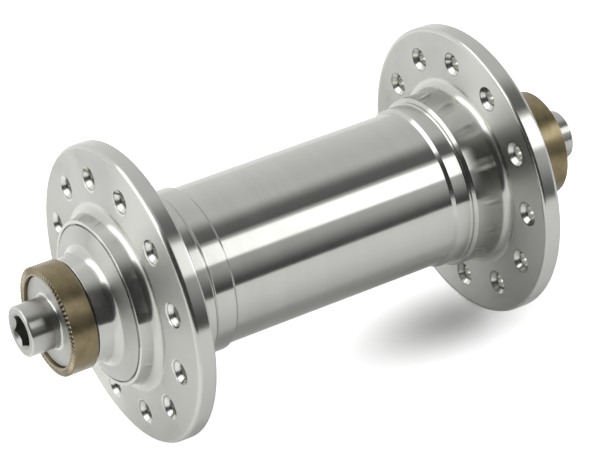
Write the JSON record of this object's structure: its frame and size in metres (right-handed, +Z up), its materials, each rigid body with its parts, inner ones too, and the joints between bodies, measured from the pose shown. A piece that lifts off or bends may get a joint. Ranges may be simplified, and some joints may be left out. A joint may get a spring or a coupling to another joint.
{
  "type": "bicycle front hub",
  "caption": "Polished front wheel hub: straight barrel between two drilled spoke flanges, turning on sealed ball bearings round a hollow axle with toothed grip rings.",
  "frame": {"origin": "on the axle, midway between the two grip faces", "axes": "+Y along the axle towards its right-hand end, +Z up"},
  "size_m": [0.053, 0.1098, 0.053],
  "materials": {
    "shell_alloy": "polished, with fine turning lines",
    "dust_cap_alloy": "polished",
    "axle_end_alloy": "satin, turned",
    "axle_alloy": "turned",
    "grip_ring_metal": "brown plated, satin, toothed face",
    "bearing_steel": "ground",
    "ball_steel": "polished",
    "cage_brass": "stamped",
    "seal_rubber": "matte"
  },
  "bodies": {
    "axle": {"axle_tube": "axle_alloy", "left_axle_end": "axle_end_alloy", "right_axle_end": "axle_end_alloy", "left_grip_ring": "grip_ring_metal", "right_grip_ring": "grip_ring_metal", "left_dust_cap": "dust_cap_alloy", "right_dust_cap": "dust_cap_alloy", "left_inner_race": "bearing_steel", "right_inner_race": "bearing_steel"},
    "shell": {"hub_shell": "shell_alloy", "left_outer_race": "bearing_steel", "right_outer_race": "bearing_steel", "left_outer_seal": "seal_rubber", "right_outer_seal": "seal_rubber", "left_inner_seal": "seal_rubber", "right_inner_seal": "seal_rubber"},
    "left_cage": {"left_ball_cage": "cage_brass", "left_balls": "ball_steel"},
    "right_cage": {"right_ball_cage": "cage_brass", "right_balls": "ball_steel"}
  },
  "joints": [
    {"name": "hub_spin", "type": "hinge", "parent": "axle", "child": "shell", "pos_m": [0, 0, 0], "axis": [0, 1, 0], "continuous": true},
    {"name": "left_cage_spin", "type": "hinge", "parent": "axle", "child": "left_cage", "pos_m": [0, -0.0364, 0], "axis": [0, 1, 0], "continuous": true},
    {"name": "right_cage_spin", "type": "hinge", "parent": "axle", "child": "right_cage", "pos_m": [0, 0.0364, 0], "axis": [0, 1, 0], "continuous": true}
  ],
  "couplings": [
    {"joint": "left_cage_spin", "follows": "hub_spin", "ratio": 0.5712},
    {"joint": "right_cage_spin", "follows": "hub_spin", "ratio": 0.5712}
  ]
}
